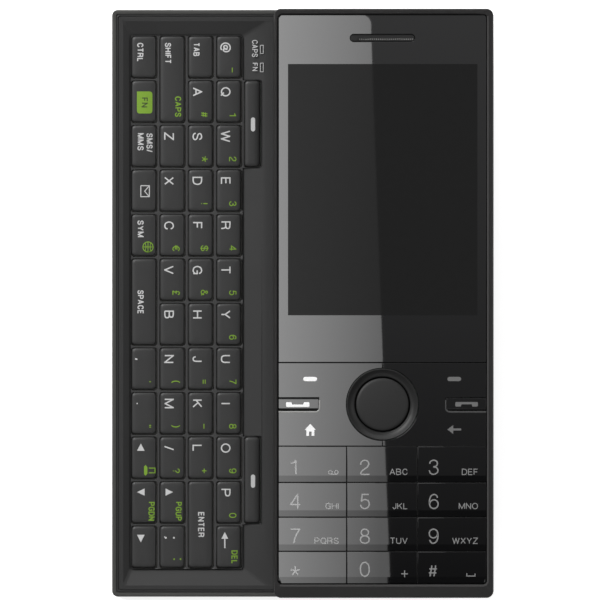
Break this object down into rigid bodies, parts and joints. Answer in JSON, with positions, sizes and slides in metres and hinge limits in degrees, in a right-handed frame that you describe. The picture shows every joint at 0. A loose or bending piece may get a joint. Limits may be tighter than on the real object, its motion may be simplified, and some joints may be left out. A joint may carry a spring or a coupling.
{
  "type": "slider phone",
  "caption": "Mobile phone whose display and number-pad half slides sideways off a lower half that carries a letter keyboard.",
  "frame": {"origin": "centre of the keyboard half's flat back face, which the phone lies on", "axes": "+X the way the display half opens, +Y towards the earpiece end, +Z out of the screen"},
  "size_m": [0.0754, 0.1164, 0.0163],
  "materials": {
    "shell": "fine matte moulded plastic, dark grey",
    "deck": "satin moulded plastic, dark grey",
    "web": "satin moulded plastic, dark grey",
    "letter_keys": "satin moulded keys, dark grey, with printed legends",
    "bezel": "lacquered plastic, near black",
    "panel": "high gloss black plastic",
    "glass": "back-painted clear sheet, gloss black",
    "screen": "display, switched off",
    "nav": "satin dark plastic",
    "silicone": "translucent grey silicone",
    "circuit": "green solder resist",
    "tin": "tinned sheet steel",
    "steel": "pressed steel",
    "gold": "gold-plated contacts",
    "cell": "wrapped battery cell",
    "module": "black moulded module",
    "lens": "dark window",
    "mesh": "dark woven wire",
    "polyimide": "amber polyimide film"
  },
  "bodies": {
    "keyboard_half": {"rear_housing": "shell", "keyboard_deck": "deck", "key_web": "web", "key_mat": "silicone", "dome_sheet": "tin", "keyboard_board": "circuit", "main_board": "circuit", "shield_cans": "tin", "battery": "cell", "battery_contacts": "gold", "sim_holder": "tin", "card_holder": "tin", "camera_module": "module", "camera_window": "lens", "loudspeaker": "module", "vibration_motor": "tin", "charge_socket": "tin", "housing_screws": "steel", "slide_carriage": "steel"},
    "display_half": {"slab_frame": "bezel", "slab_back": "shell", "display_glass": "glass", "lcd_panel": "screen", "earpiece": "mesh", "pad_board": "circuit", "slide_rails": "steel", "slide_springs": "steel", "flex_cable": "polyimide", "slab_screws": "steel"},
    "battery_cover": {"battery_cover": "shell"},
    "key_row_a": {"key_row_a": "letter_keys"},
    "key_row_b": {"key_row_b": "letter_keys"},
    "key_row_c": {"key_row_c": "letter_keys"},
    "key_row_d": {"key_row_d": "letter_keys"},
    "space_key": {"space_key": "letter_keys"},
    "enter_key": {"enter_key": "letter_keys"},
    "shift_key": {"shift_key": "letter_keys"},
    "soft_key_upper": {"soft_key_upper": "letter_keys"},
    "soft_key_lower": {"soft_key_lower": "letter_keys"},
    "number_key_1": {"number_key_1": "panel"},
    "number_key_2": {"number_key_2": "panel"},
    "number_key_3": {"number_key_3": "panel"},
    "number_key_4": {"number_key_4": "panel"},
    "number_key_5": {"number_key_5": "panel"},
    "number_key_6": {"number_key_6": "panel"},
    "number_key_7": {"number_key_7": "panel"},
    "number_key_8": {"number_key_8": "panel"},
    "number_key_9": {"number_key_9": "panel"},
    "star_key": {"star_key": "panel"},
    "number_key_0": {"number_key_0": "panel"},
    "hash_key": {"hash_key": "panel"},
    "call_key": {"call_key": "panel"},
    "end_key": {"end_key": "panel"},
    "left_rocker": {"left_rocker": "panel"},
    "right_rocker": {"right_rocker": "panel"},
    "camera_key": {"camera_key": "shell"},
    "volume_rocker": {"volume_rocker": "shell"},
    "nav_pivot": {"nav_pivot": "steel"},
    "nav_ring": {"nav_ring": "nav"},
    "nav_button": {"nav_button": "nav"}
  },
  "joints": [
    {"name": "display_slide", "type": "slide", "parent": "keyboard_half", "child": "display_half", "axis": [1, 0, 0], "range_m": [-0.032, 0], "deforming": ["slide_springs", "flex_cable"]},
    {"name": "battery_cover_slide", "type": "slide", "parent": "keyboard_half", "child": "battery_cover", "axis": [0, -1, 0], "range_m": [0, 0.008]},
    {"name": "nav_left_right", "type": "hinge", "parent": "display_half", "child": "nav_pivot", "pos_m": [0.03175, -0.01995, 0.01505], "axis": [0, 1, 0], "range_deg": [-1.5, 1.5], "stiffness_Nm_per_rad": 0.02},
    {"name": "nav_up_down", "type": "hinge", "parent": "nav_pivot", "child": "nav_ring", "pos_m": [0.03175, -0.01995, 0.01505], "axis": [1, 0, 0], "range_deg": [-1.5, 1.5], "stiffness_Nm_per_rad": 0.02},
    {"name": "nav_button_press", "type": "slide", "parent": "display_half", "child": "nav_button", "axis": [0, 0, -1], "range_m": [0, 0.00025], "stiffness_N_per_m": 500, "springref_m": -0.00005},
    {"name": "left_rocker_tilt", "type": "hinge", "parent": "display_half", "child": "left_rocker", "pos_m": [0.019, -0.01995, 0.01505], "axis": [1, 0, 0], "range_deg": [-1.5, 1.5], "stiffness_Nm_per_rad": 0.02},
    {"name": "right_rocker_tilt", "type": "hinge", "parent": "display_half", "child": "right_rocker", "pos_m": [0.045, -0.01995, 0.01505], "axis": [1, 0, 0], "range_deg": [-1.5, 1.5], "stiffness_Nm_per_rad": 0.02},
    {"name": "call_key_press", "type": "slide", "parent": "display_half", "child": "call_key", "axis": [0, 0, -1], "range_m": [0, 0.00025], "stiffness_N_per_m": 500, "springref_m": -0.00005},
    {"name": "end_key_press", "type": "slide", "parent": "display_half", "child": "end_key", "axis": [0, 0, -1], "range_m": [0, 0.00025], "stiffness_N_per_m": 500, "springref_m": -0.00005},
    {"name": "camera_key_press", "type": "slide", "parent": "keyboard_half", "child": "camera_key", "axis": [-1, 0, 0], "range_m": [0, 0.00025], "stiffness_N_per_m": 500, "springref_m": -0.00005},
    {"name": "volume_tilt", "type": "hinge", "parent": "keyboard_half", "child": "volume_rocker", "pos_m": [0.021, 0.024, 0.0034], "axis": [0, 0, 1], "range_deg": [-1.5, 1.5], "stiffness_Nm_per_rad": 0.02},
    {"name": "key_row_a_press", "type": "slide", "parent": "keyboard_half", "child": "key_row_a", "axis": [0, 0, -1], "range_m": [0, 0.00025], "stiffness_N_per_m": 500, "springref_m": -0.00005},
    {"name": "key_row_b_press", "type": "slide", "parent": "keyboard_half", "child": "key_row_b", "axis": [0, 0, -1], "range_m": [0, 0.00025], "stiffness_N_per_m": 500, "springref_m": -0.00005},
    {"name": "key_row_c_press", "type": "slide", "parent": "keyboard_half", "child": "key_row_c", "axis": [0, 0, -1], "range_m": [0, 0.00025], "stiffness_N_per_m": 500, "springref_m": -0.00005},
    {"name": "key_row_d_press", "type": "slide", "parent": "keyboard_half", "child": "key_row_d", "axis": [0, 0, -1], "range_m": [0, 0.00025], "stiffness_N_per_m": 500, "springref_m": -0.00005},
    {"name": "space_key_press", "type": "slide", "parent": "keyboard_half", "child": "space_key", "axis": [0, 0, -1], "range_m": [0, 0.00025], "stiffness_N_per_m": 500, "springref_m": -0.00005},
    {"name": "enter_key_press", "type": "slide", "parent": "keyboard_half", "child": "enter_key", "axis": [0, 0, -1], "range_m": [0, 0.00025], "stiffness_N_per_m": 500, "springref_m": -0.00005},
    {"name": "shift_key_press", "type": "slide", "parent": "keyboard_half", "child": "shift_key", "axis": [0, 0, -1], "range_m": [0, 0.00025], "stiffness_N_per_m": 500, "springref_m": -0.00005},
    {"name": "soft_key_upper_press", "type": "slide", "parent": "keyboard_half", "child": "soft_key_upper", "axis": [0, 0, -1], "range_m": [0, 0.00025], "stiffness_N_per_m": 500, "springref_m": -0.00005},
    {"name": "soft_key_lower_press", "type": "slide", "parent": "keyboard_half", "child": "soft_key_lower", "axis": [0, 0, -1], "range_m": [0, 0.00025], "stiffness_N_per_m": 500, "springref_m": -0.00005},
    {"name": "number_key_1_press", "type": "slide", "parent": "display_half", "child": "number_key_1", "axis": [0, 0, -1], "range_m": [0, 0.00025], "stiffness_N_per_m": 500, "springref_m": -0.00005},
    {"name": "number_key_2_press", "type": "slide", "parent": "display_half", "child": "number_key_2", "axis": [0, 0, -1], "range_m": [0, 0.00025], "stiffness_N_per_m": 500, "springref_m": -0.00005},
    {"name": "number_key_3_press", "type": "slide", "parent": "display_half", "child": "number_key_3", "axis": [0, 0, -1], "range_m": [0, 0.00025], "stiffness_N_per_m": 500, "springref_m": -0.00005},
    {"name": "number_key_4_press", "type": "slide", "parent": "display_half", "child": "number_key_4", "axis": [0, 0, -1], "range_m": [0, 0.00025], "stiffness_N_per_m": 500, "springref_m": -0.00005},
    {"name": "number_key_5_press", "type": "slide", "parent": "display_half", "child": "number_key_5", "axis": [0, 0, -1], "range_m": [0, 0.00025], "stiffness_N_per_m": 500, "springref_m": -0.00005},
    {"name": "number_key_6_press", "type": "slide", "parent": "display_half", "child": "number_key_6", "axis": [0, 0, -1], "range_m": [0, 0.00025], "stiffness_N_per_m": 500, "springref_m": -0.00005},
    {"name": "number_key_7_press", "type": "slide", "parent": "display_half", "child": "number_key_7", "axis": [0, 0, -1], "range_m": [0, 0.00025], "stiffness_N_per_m": 500, "springref_m": -0.00005},
    {"name": "number_key_8_press", "type": "slide", "parent": "display_half", "child": "number_key_8", "axis": [0, 0, -1], "range_m": [0, 0.00025], "stiffness_N_per_m": 500, "springref_m": -0.00005},
    {"name": "number_key_9_press", "type": "slide", "parent": "display_half", "child": "number_key_9", "axis": [0, 0, -1], "range_m": [0, 0.00025], "stiffness_N_per_m": 500, "springref_m": -0.00005},
    {"name": "star_key_press", "type": "slide", "parent": "display_half", "child": "star_key", "axis": [0, 0, -1], "range_m": [0, 0.00025], "stiffness_N_per_m": 500, "springref_m": -0.00005},
    {"name": "number_key_0_press", "type": "slide", "parent": "display_half", "child": "number_key_0", "axis": [0, 0, -1], "range_m": [0, 0.00025], "stiffness_N_per_m": 500, "springref_m": -0.00005},
    {"name": "hash_key_press", "type": "slide", "parent": "display_half", "child": "hash_key", "axis": [0, 0, -1], "range_m": [0, 0.00025], "stiffness_N_per_m": 500, "springref_m": -0.00005}
  ]
}
